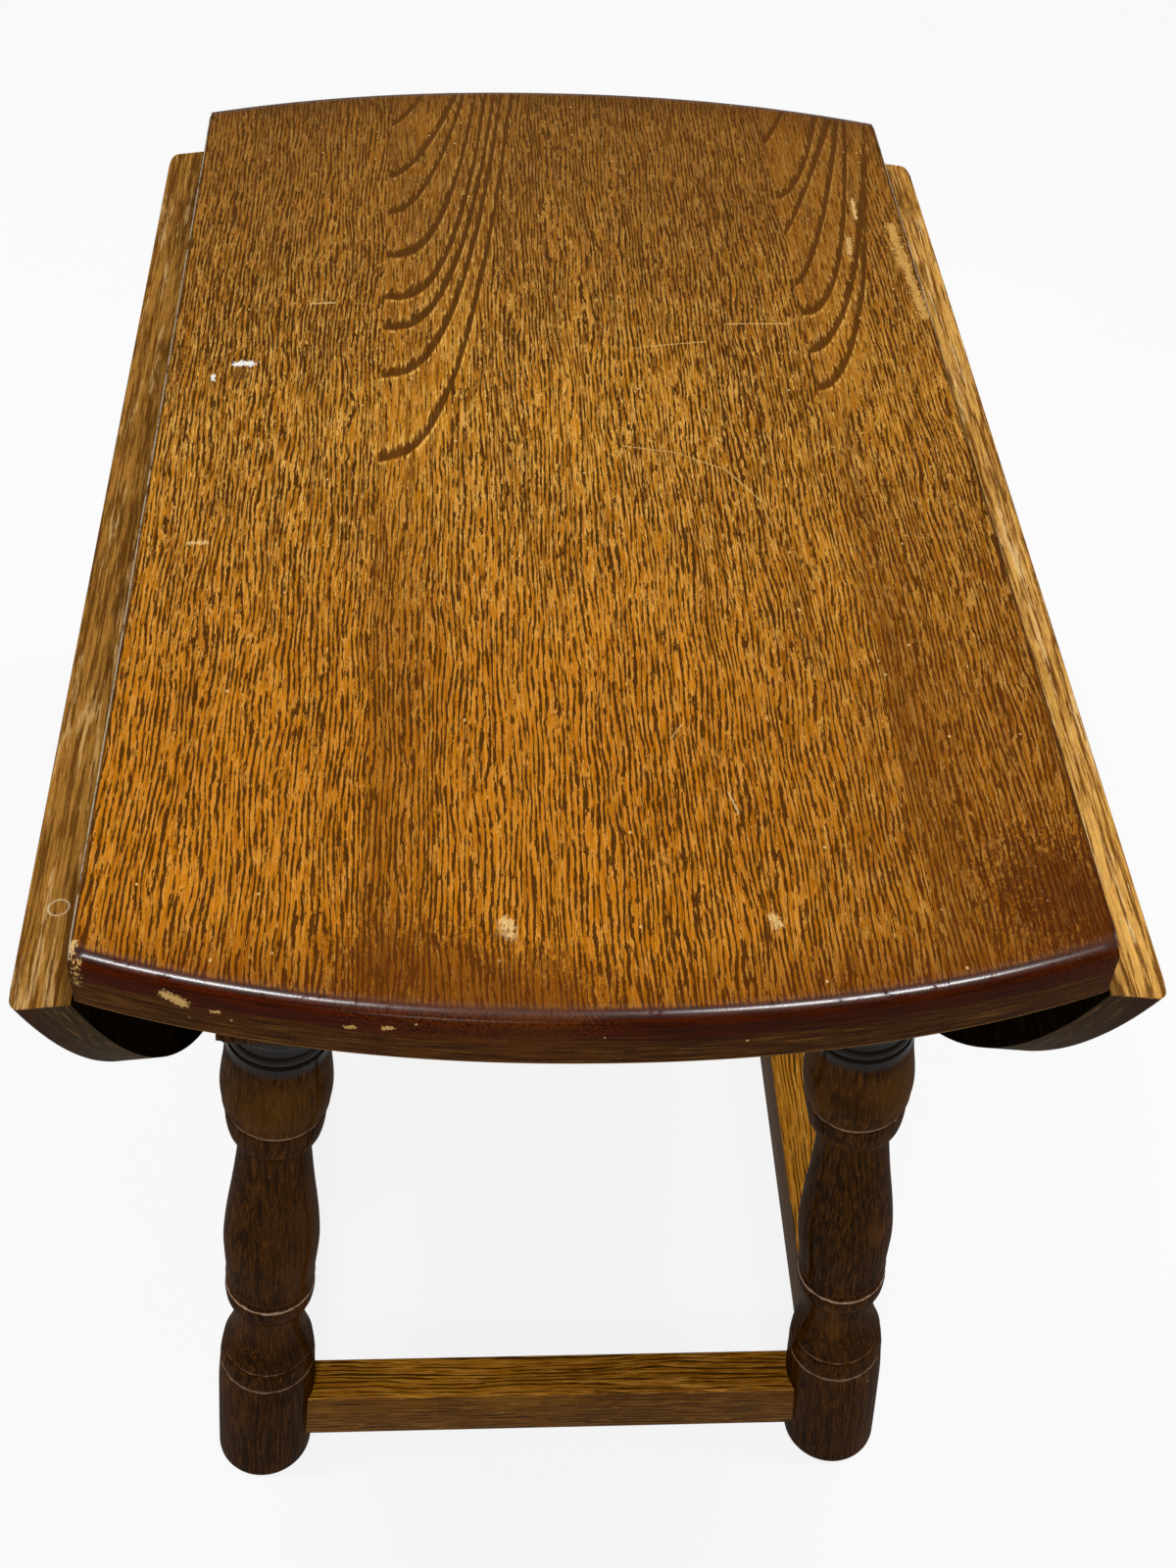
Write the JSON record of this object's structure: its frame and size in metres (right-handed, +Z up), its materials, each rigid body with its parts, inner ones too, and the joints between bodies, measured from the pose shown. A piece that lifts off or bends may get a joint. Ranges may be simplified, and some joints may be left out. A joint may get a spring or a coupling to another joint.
{
  "type": "drop leaf side table",
  "caption": "Oak side table with a fixed middle board, two D shaped drop leaves on hinges, splayed turned legs and a low box stretcher.",
  "frame": {"origin": "on the floor under the middle of the top", "axes": "+Z up, +Y along the table's length towards the back, +X across it towards the right leaf; the leaves hang at rest"},
  "size_m": [0.4536, 0.729, 0.566],
  "materials": {
    "top_oak": "waxed",
    "leaf_oak": "waxed",
    "leg_oak": "dark polish",
    "rail_oak": "dark polish",
    "stretcher_oak": "waxed",
    "loper_oak": "plain",
    "loper_peg_oak": "plain",
    "guide_oak": "plain",
    "button_oak": "plain",
    "hinge_iron": "dark patina",
    "hinge_pin_steel": "worn",
    "screw_steel": "dark patina"
  },
  "bodies": {
    "table_frame": {"top_plank_left": "top_oak", "top_plank_middle": "top_oak", "top_plank_right": "top_oak", "front_left_leg": "leg_oak", "front_right_leg": "leg_oak", "back_left_leg": "leg_oak", "back_right_leg": "leg_oak", "front_rail": "rail_oak", "back_rail": "rail_oak", "left_rail": "rail_oak", "right_rail": "rail_oak", "front_stretcher": "stretcher_oak", "back_stretcher": "stretcher_oak", "left_stretcher": "stretcher_oak", "right_stretcher": "stretcher_oak", "front_left_hinge_board_flap": "hinge_iron", "front_left_hinge_pin": "hinge_pin_steel", "front_right_hinge_board_flap": "hinge_iron", "front_right_hinge_pin": "hinge_pin_steel", "back_left_hinge_board_flap": "hinge_iron", "back_left_hinge_pin": "hinge_pin_steel", "back_right_hinge_board_flap": "hinge_iron", "back_right_hinge_pin": "hinge_pin_steel", "board_hinge_screws": "screw_steel", "left_loper_guide": "guide_oak", "right_loper_guide": "guide_oak", "loper_guide_screws": "screw_steel", "top_buttons": "button_oak", "top_button_screws": "screw_steel"},
    "left_leaf": {"left_leaf": "leaf_oak", "front_left_hinge_leaf_flap": "hinge_iron", "back_left_hinge_leaf_flap": "hinge_iron", "left_leaf_hinge_screws": "screw_steel"},
    "right_leaf": {"right_leaf": "leaf_oak", "front_right_hinge_leaf_flap": "hinge_iron", "back_right_hinge_leaf_flap": "hinge_iron", "right_leaf_hinge_screws": "screw_steel"},
    "left_loper": {"left_loper": "loper_oak", "left_loper_peg": "loper_peg_oak"},
    "right_loper": {"right_loper": "loper_oak", "right_loper_peg": "loper_peg_oak"}
  },
  "joints": [
    {"name": "left_leaf_hinge", "type": "hinge", "parent": "table_frame", "child": "left_leaf", "pos_m": [-0.2002, 0, 0.539], "axis": [0, 1, 0], "range_deg": [0, 97.5]},
    {"name": "left_loper_slide", "type": "slide", "parent": "table_frame", "child": "left_loper", "axis": [-1, 0, 0], "range_m": [0, 0.0895]},
    {"name": "right_leaf_hinge", "type": "hinge", "parent": "table_frame", "child": "right_leaf", "pos_m": [0.2002, 0, 0.539], "axis": [0, -1, 0], "range_deg": [0, 97.5]},
    {"name": "right_loper_slide", "type": "slide", "parent": "table_frame", "child": "right_loper", "axis": [1, 0, 0], "range_m": [0, 0.0895]}
  ],
  "couplings": [
    {"joint": "left_loper_slide", "follows": "left_leaf_hinge", "m_per_rad": 0.052588},
    {"joint": "right_loper_slide", "follows": "right_leaf_hinge", "m_per_rad": 0.052588}
  ]
}
